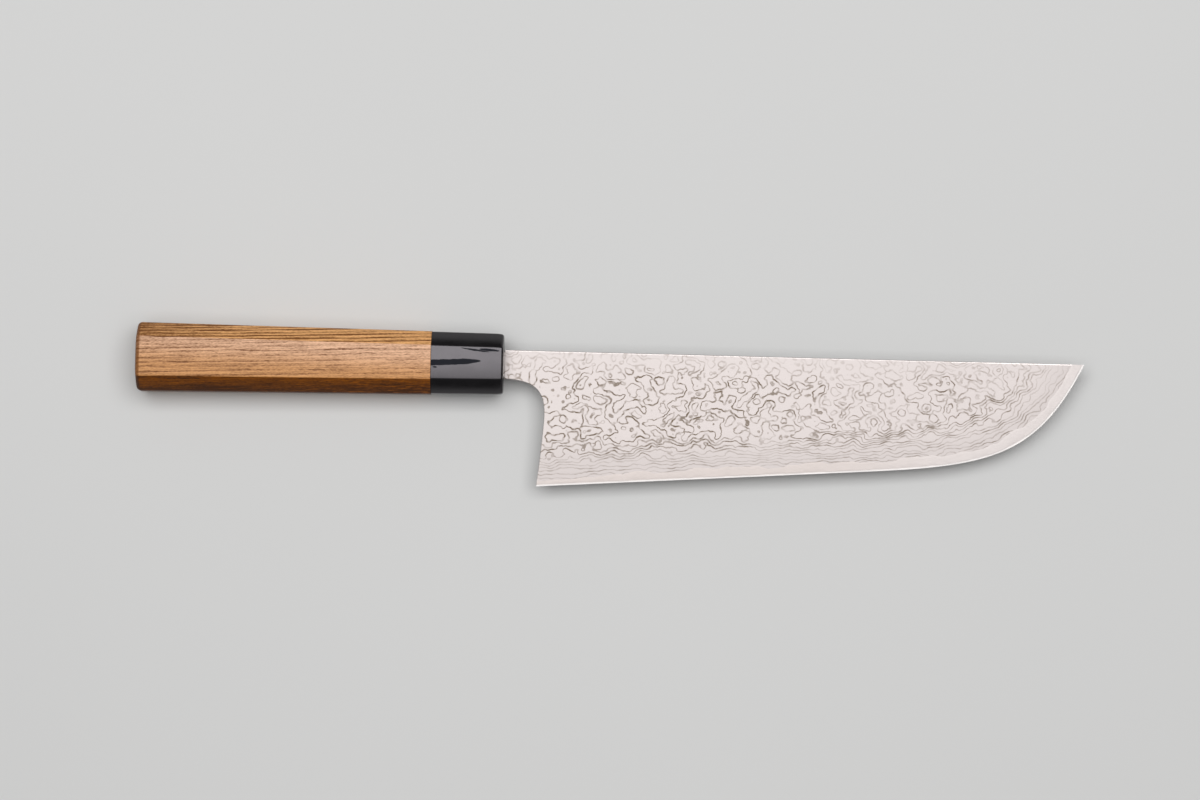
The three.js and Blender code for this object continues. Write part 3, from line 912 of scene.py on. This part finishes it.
WOOD_PAINTED_HIGHLIGHT = rgb(0.785, 0.465, 0.285)  # painted highlight: paler towards the ridge of the upper chamfer, and towards the ferrule
SPINE_LIGHT = rgb(0.83, 0.435, 0.17)  # beyond that ridge
WOOD_DARK = rgb(0.155, 0.052, 0.011)
# Colours of the darker stripe, which is partly darker wood and partly painted shade.
HEART_AND_SHADE_LIGHT = rgb(0.24, 0.068, 0.003)
HEART_AND_SHADE_DARK = rgb(0.055, 0.015, 0.001)
WOOD_SHINE = 0.22


def along_wood(g, at_butt, at_ferrule):
    """A value that runs evenly from the butt to the ferrule."""
    return g.ramp(g.x, -HANDLE_LENGTH, -FERRULE_LENGTH, at_butt, at_ferrule, soft=False)


def away_from(g, middle, drift):
    """Distance from a line along the handle, by its place at the ferrule's front and its drift."""
    away_y = g.math("SUBTRACT", g.y, g.math("MULTIPLY_ADD", g.x, drift[0], middle[0]))
    away_z = g.math("SUBTRACT", g.z, g.math("MULTIPLY_ADD", g.x, drift[1], middle[1]))
    return g.vector("LENGTH", g.join(0.0, away_y, away_z))


def upper_ridge(g):
    """Height of the ridge between the upper facet and the spine's chamfer."""
    at_butt = BUTT_HEIGHT / 2 - FACET_LEG
    at_front = FRONT_HEIGHT / 2 - FACET_LEG
    return g.ramp(g.x, -HANDLE_LENGTH, 0.0, at_butt, at_front, soft=False)


def early_wood(g, ridge):
    """Porous bands of the growth rings, of unlike strengths, that fade in and out along the handle."""
    radius = away_from(g, PITH, (GRAIN_SLANT, 0.0))
    sway = g.streaks(g.place, 0.014, 0.11)
    ring = g.math("DIVIDE", g.math("MULTIPLY_ADD", sway, RING_SWAY, radius), RING_WIDTH)
    past_ridge = g.math("MAXIMUM", g.math("SUBTRACT", g.y, ridge), 0.0)
    ring = g.math("MULTIPLY_ADD", past_ridge, along_wood(g, *RING_TURN), ring)
    part = g.math("FRACT", ring)
    season = g.math("FRACT", g.math("MULTIPLY", g.math("FLOOR", ring), GOLDEN))
    early = g.math("MAXIMUM", g.ramp(part, 0.1, 0.5, 1.0, 0.0), g.ramp(part, 0.86, 1.0))
    early = g.math("MULTIPLY", early, g.math("MULTIPLY_ADD", season, 0.6, 0.4))
    fade = g.streaks(g.place, 0.045, 0.6)
    return g.math("MULTIPLY", early, g.ramp(fade, 0.36, 0.6, 0.35, 1.0))


def open_pores(g, slanted, early):
    pores = g.ramp(g.streaks(slanted, 0.45, 2.6, detail=1.0), 0.52, 0.66)
    return g.math("MULTIPLY", pores, g.math("MULTIPLY_ADD", early, 0.5, 0.5))


def fibre_tone(g, fibre, spine_side):
    """Tone of the fibres, from 0 for dark wood to 1 for light wood."""
    tone = g.math("ADD", along_wood(g, -0.1, -0.02), g.ramp(fibre, 0.34, 0.66, 0.5, 1.2, soft=False))
    at_spine = g.ramp(g.x, -HANDLE_LENGTH, SPINE_TONE_END, SPINE_TONE, 0.0, soft=False)
    return g.math("MULTIPLY_ADD", spine_side, at_spine, tone)


def ring_shade(g, spine_side):
    """How far early wood darkens the tone: more on the spine's side, most on its upper chamfer."""
    shade = g.ramp(g.x, -130.0, -60.0, -0.64, -0.36)
    at_spine = g.ramp(g.x, -HANDLE_LENGTH, -70.0, -0.5, -0.95)
    at_spine = g.math("MULTIPLY", at_spine, g.ramp(g.z, 1.0, 5.0, 0.45, 1.0))
    return g.math("MULTIPLY_ADD", spine_side, at_spine, shade)


def heart_and_shade_tone(g, slanted):
    """How far the darker stripe changes the tone, with paler flecks in it. The stripe is partly darker
    wood and partly painted shade, darkest towards the ferrule and at the ridge of the lower chamfer.
    """
    flecks = g.ramp(g.streaks(slanted, 0.22, 1.7, detail=1.0), 0.52, 0.66)
    fleck = g.math("MULTIPLY", flecks, g.ramp(g.x, -100.0, -40.0, 0.2, 0.6))
    shade = g.math("ADD", fleck, along_wood(g, -0.17, -0.48))
    from_ridge = away_from(g, HEART_AND_SHADE_RIDGE, HEART_AND_SHADE_DRIFT)
    return g.math("ADD", shade, g.ramp(from_ridge, 0.0, HEART_AND_SHADE_REACH, -0.32, 0.12))


def end_grain_and_painted_shade(g):
    """End grain at the butt is darker, and part of that darkening on the butt's rim is painted shade."""
    facing_back = g.math("ABSOLUTE", g.split(g.node("NewGeometry").outputs["Normal"])[0])
    return g.ramp(facing_back, 0.05, 0.32, 1.0, 0.3)


def wood_colour(g, tone, facet_share, spine_side, heart_and_shade):
    """The colour of a tone, by the place on the handle, with a painted highlight towards the upper ridge
    of the top facet and painted shade in the darker stripe.
    """
    # Painted highlight: paler wood towards the upper ridge of the top facet and towards the ferrule,
    # none on the spine's side.
    pale = g.math("ADD", facet_share, along_wood(g, -0.1, 0.35))
    pale = g.math("MULTIPLY", g.ramp(pale, -0.6, 1.0), g.math("SUBTRACT", 1.0, spine_side))
    light = g.mix(spine_side, g.mix(pale, WOOD_LIGHT, WOOD_PAINTED_HIGHLIGHT), SPINE_LIGHT)
    light = g.mix(heart_and_shade, light, HEART_AND_SHADE_LIGHT)
    return g.mix(tone, g.mix(heart_and_shade, WOOD_DARK, HEART_AND_SHADE_DARK), light)


def handle_wood():
    """Ring-porous wood: dark early wood full of pores, seen as lines, figure and end grain, with painted
    shade in a darker stripe on the edge's side and on the butt's rim, and a painted highlight towards
    the upper ridge of the top facet.
    """
    g = KnifeGraph("handle_wood")
    ridge = upper_ridge(g)
    facet_share = g.math("DIVIDE", g.y, ridge)
    spine_side = g.ramp(facet_share, *SPINE_SIDE)
    # A darker stripe on the edge's side: partly darker wood, partly painted shade.
    heart_and_shade = g.ramp(away_from(g, HEART_AND_SHADE_MIDDLE, HEART_AND_SHADE_DRIFT), *HEART_AND_SHADE_BORDER, 1.0, 0.0)
    slanted = g.join(g.x, g.math("MULTIPLY_ADD", g.x, -GRAIN_SLANT, g.y), g.z)
    fibre = g.streaks(slanted, 0.06, 2.2, detail=4.0, rough=0.7)
    early = early_wood(g, ridge)
    pore = open_pores(g, slanted, early)
    early = g.math("MULTIPLY", early, g.math("MULTIPLY_ADD", heart_and_shade, RING_FADE, 1.0))
    tone = fibre_tone(g, fibre, spine_side)
    tone = g.math("MULTIPLY_ADD", early, ring_shade(g, spine_side), tone)
    tone = g.math("MULTIPLY_ADD", pore, PORE_SHADE, tone)
    grit = g.streaks(slanted, 1.0, 3.4, detail=1.0)
    tone = g.math("ADD", tone, g.ramp(grit, 0.3, 0.7, -GRIT_SHADE, GRIT_SHADE, soft=False))
    tone = g.math("MULTIPLY_ADD", heart_and_shade, heart_and_shade_tone(g, slanted), tone)
    # Darker end grain, partly painted shade on the butt's rim.
    tone = g.math("MULTIPLY", g.math("MAXIMUM", tone, 0.0), end_grain_and_painted_shade(g))
    g.set(Base_Color=wood_colour(g, tone, facet_share, spine_side, heart_and_shade))
    g.set(Roughness=g.ramp(tone, 0.0, 1.0, 0.5, 0.36, soft=False), Specular_IOR_Level=WOOD_SHINE)
    g.bump(g.math("MULTIPLY_ADD", pore, -1.0, g.math("MULTIPLY", fibre, FIBRE_HEIGHT)), PORE_DEPTH)
    return g.material


# Horn, resin and dowel

HORN_STREAKS = (  # start x and y, end x and y, thickness, length of its pointed ends
    (-35.0, -0.7, -8.5, 0.75, 2.25, 6.0),
    (-27.0, -1.95, -25.2, -1.95, 0.65, 0.9),
    (-16.5, 5.6, -5.2, 4.2, 1.05, 8.0),
    (-9.2, 5.3, -1.4, 4.7, 1.0, 2.5),
)
STREAK_HEIGHTS = (4.0, 6.0)  # z over which they come up, so they lie on the knife's right side alone
STREAK_BORDER = (-0.02, 0.12)
STREAK_WOBBLE = 0.5
HORN_BLACK = rgb(0.0035, 0.0032, 0.0036)
HORN_DULL = rgb(0.004, 0.006, 0.010)
HORN_TINT = rgb(1.0, 0.94, 1.0)
HORN_IOR = 1.57
DULLNESS = 0.75
RESIN_TONES = (rgb(0.02, 0.014, 0.01), rgb(0.05, 0.035, 0.022))
DOWEL_TONES = (rgb(0.42, 0.28, 0.14), rgb(0.66, 0.5, 0.3))


def horn_streak(g, ragged, x0, y0, x1, y1, thickness, point):
    """One streak, pointed at both ends, with ragged borders."""
    middle = g.ramp(g.x, x0, x1, y0, y1, soft=False)
    wobble = g.math("SUBTRACT", ragged, 0.5)
    offset = g.math("MULTIPLY_ADD", wobble, STREAK_WOBBLE, g.math("SUBTRACT", g.y, middle))
    back = g.ramp(g.x, x0, x0 + point, soft=False)
    front = g.ramp(g.x, x1 - point, x1, 1.0, 0.0, soft=False)
    half = g.math("MULTIPLY", g.math("SQRT", g.math("MINIMUM", back, front)), thickness / 2)
    return g.ramp(g.math("SUBTRACT", half, g.math("ABSOLUTE", offset)), *STREAK_BORDER)


def horn():
    """Polished black horn, with dull streaks along the grain that don't mirror the light."""
    g = KnifeGraph("horn")
    wander = g.streaks(g.place, 0.12, 0.25)
    ragged = g.streaks(g.place, 0.5, 1.5)
    dull = 0.0
    for streak in HORN_STREAKS:
        dull = g.math("MAXIMUM", horn_streak(g, ragged, *streak), dull)
    dull = g.math("MULTIPLY", dull, g.ramp(g.z, *STREAK_HEIGHTS))
    g.set(Base_Color=g.mix(dull, HORN_BLACK, HORN_DULL))
    g.set(Roughness=g.math("MULTIPLY_ADD", dull, DULLNESS, g.ramp(wander, 0.3, 0.7, 0.18, 0.24)))
    g.set(IOR=HORN_IOR, Specular_Tint=HORN_TINT)
    return g.material


def resin():
    """Dark, cloudy set resin."""
    g = KnifeGraph("resin")
    g.set(Base_Color=g.mix(g.noise(g.place, 1.5), *RESIN_TONES), Roughness=0.5)
    return g.material


def dowel_wood():
    """Plain pale wood with its grain along the dowel."""
    g = KnifeGraph("dowel_wood")
    grain = g.streaks(g.place, 0.06, 2.5, detail=3.0)
    g.set(Base_Color=g.mix(grain, *DOWEL_TONES), Roughness=0.7)
    return g.material


# Stage, light and camera

FLOOR_HALF = 40.0  # metres
FLOOR_TONES = (rgb(0.60, 0.60, 0.595), rgb(0.63, 0.63, 0.625))
SOFTBOXES = (  # name, place and target in metres, width and depth in metres, radiance
    ("broad_softbox", (0.0, 0.15, 1.6), (0.0, 0.15, 0.0), (2.0, 1.5), 1.7),
    ("key_softbox", (0.0, 0.38, 1.55), (0.0, 0.38, 0.0), (1.8, 0.8), 3.0),
)
WALL_STRENGTHS = (0.03, 0.18)  # of the studio's walls, at the floor and above
WALL_RISE = 0.4  # upward share of the direction in which they are brightest
PHOTO_SCALE = 0.38484  # millimetres of the blade's plane for each pixel of a 1200 by 800 frame
FRAME_WIDTH = 1200
FRAME_CENTRE = (37.35, -12.9)  # on the knife, in millimetres
ROLL = math.radians(1.229)
LEAN = math.radians(2.0)  # the camera leans from straight down towards the edge's side
LENS = 100.0
SENSOR = 36.0


def add_floor():
    s = FLOOR_HALF
    mesh = bpy.data.meshes.new("floor")
    mesh.from_pydata([(-s, -s, 0), (s, -s, 0), (s, s, 0), (-s, s, 0)], [], [(0, 1, 2, 3)])
    g = Graph("floor_paper")
    tone = g.noise(g.node("TexCoord").outputs["Object"], 3.0)
    g.set(Base_Color=g.mix(tone, *FLOOR_TONES), Roughness=0.9)
    mesh.materials.append(g.material)
    floor = add_object("floor", mesh)


def add_softbox(name, place, target, size, radiance):
    """A rectangular area light that looks at a target; its power follows from its radiance and size."""
    light = bpy.data.lights.new(name, "AREA")
    light.shape = "RECTANGLE"
    light.size, light.size_y = size
    light.energy = radiance * math.pi * size[0] * size[1]
    box = add_object(name, light)
    box.location = place
    box.rotation_euler = (Vector(target) - Vector(place)).to_track_quat("-Z", "Y").to_euler()


def add_walls():
    """A studio with pale walls that darken towards the floor."""
    world = bpy.data.worlds.new("studio")
    world.use_nodes = True
    tree = world.node_tree
    way = tree.nodes.new("ShaderNodeTexCoord")
    split = tree.nodes.new("ShaderNodeSeparateXYZ")
    wall = tree.nodes.new("ShaderNodeMapRange")
    wall.interpolation_type = "SMOOTHSTEP"
    low, high = WALL_STRENGTHS
    for key, value in {"From Min": 0.0, "From Max": WALL_RISE, "To Min": low, "To Max": high}.items():
        wall.inputs[key].default_value = value
    background = tree.nodes["Background"]
    background.inputs["Color"].default_value = rgb(1.0, 1.0, 1.0)
    tree.links.new(way.outputs["Generated"], split.inputs[0])
    tree.links.new(split.outputs["Z"], wall.inputs["Value"])
    tree.links.new(wall.outputs["Result"], background.inputs["Strength"])
    bpy.context.scene.world = world


def add_camera():
    """A camera that looks down on the blade's flat side."""
    right = Vector((math.cos(ROLL), math.sin(ROLL), 0))
    up = Vector((-math.sin(ROLL), math.cos(ROLL), 0))
    top = Vector((0, 0, 1))
    back = top * math.cos(LEAN) - up * math.sin(LEAN)
    image_up = up * math.cos(LEAN) + top * math.sin(LEAN)
    distance = FRAME_WIDTH * PHOTO_SCALE * MM * LENS / SENSOR
    target = Vector(to_frame([(*FRAME_CENTRE, 0.0)])[0])
    data = bpy.data.cameras.new("camera")
    data.lens = LENS
    data.sensor_width = SENSOR
    camera = add_object("camera", data)
    turn = Matrix((right, image_up, back)).transposed().to_4x4()
    camera.matrix_world = Matrix.Translation(target + back * distance) @ turn
    bpy.context.scene.camera = camera


# Assembly

def dress(piece, material, node):
    """Gives a piece its material and lets it stand for a node of the frame."""
    piece.data.materials.append(material)
    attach(piece, BODY)
    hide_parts(node)


def redress(node, material):
    """Gives a node of the frame a better material."""
    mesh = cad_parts[node].data
    mesh.materials.clear()
    mesh.materials.append(material)


bpy.context.scene.view_settings.view_transform = "Standard"
core, right, left = build_blade()
dress(core, core_steel(), "blade_core")
dress(right, damascus("damascus_right", 3.0), "cladding_right")
dress(left, damascus("damascus_left", 61.0), "cladding_left")
dress(build_handle(), handle_wood(), "handle_body")
dress(build_ferrule(), horn(), "ferrule")
redress("tang_bedding", resin())
redress("tang_dowel", dowel_wood())
add_floor()
add_walls()
for softbox in SOFTBOXES:
    add_softbox(*softbox)
add_camera()
